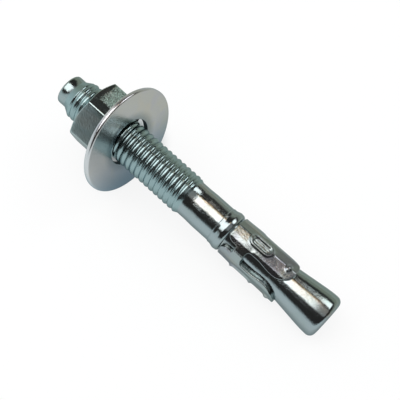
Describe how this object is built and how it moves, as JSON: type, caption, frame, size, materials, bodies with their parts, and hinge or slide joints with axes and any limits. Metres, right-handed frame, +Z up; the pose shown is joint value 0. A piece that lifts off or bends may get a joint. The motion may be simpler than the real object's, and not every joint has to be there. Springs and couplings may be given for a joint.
{
  "type": "wedge anchor",
  "caption": "Steel through bolt for concrete: threaded stud with hex nut and washer, and a wrapped expansion clip that spreads over a cone end.",
  "frame": {"origin": "bottom centre of the bounding box of the anchor as it lies on a flat surface, resting on the washer's rim and on the cone end's rim", "axes": "+X along the stud from the threaded tip towards the cone end, seen from above; +Z up; the stud's axis falls 7.33 degrees towards the cone end"},
  "size_m": [0.0952, 0.032, 0.0318],
  "materials": {
    "stud_steel": "bright zinc plating, bluish, glossy",
    "clip_steel": "zinc-plated pressed sheet, slightly speckled",
    "washer_steel": "zinc-plated sheet, satin with a faint violet and yellow tint",
    "nut_steel": "zinc-plated forged steel, darker and duller"
  },
  "bodies": {
    "stud": {"stud": "stud_steel"},
    "expansion_clip": {"expansion_clip": "clip_steel"},
    "washer": {"washer": "washer_steel"},
    "hex_nut": {"hex_nut": "nut_steel"}
  },
  "joints": [
    {"name": "clip_spin", "type": "hinge", "parent": "stud", "child": "expansion_clip", "pos_m": [0.02224, 0, 0.0094], "axis": [0.9918, 0, -0.1276], "continuous": true},
    {"name": "washer_slide", "type": "slide", "parent": "stud", "child": "washer", "axis": [0.9918, 0, -0.1276], "range_m": [-0.00981, 0.02571]},
    {"name": "nut_turn", "type": "hinge", "parent": "washer", "child": "hex_nut", "pos_m": [-0.03261, 0, 0.01645], "axis": [0.9918, 0, -0.1276], "range_deg": [-2016, 5287]}
  ],
  "couplings": [
    {"joint": "washer_slide", "follows": "nut_turn", "m_per_rad": 0.00027852}
  ]
}
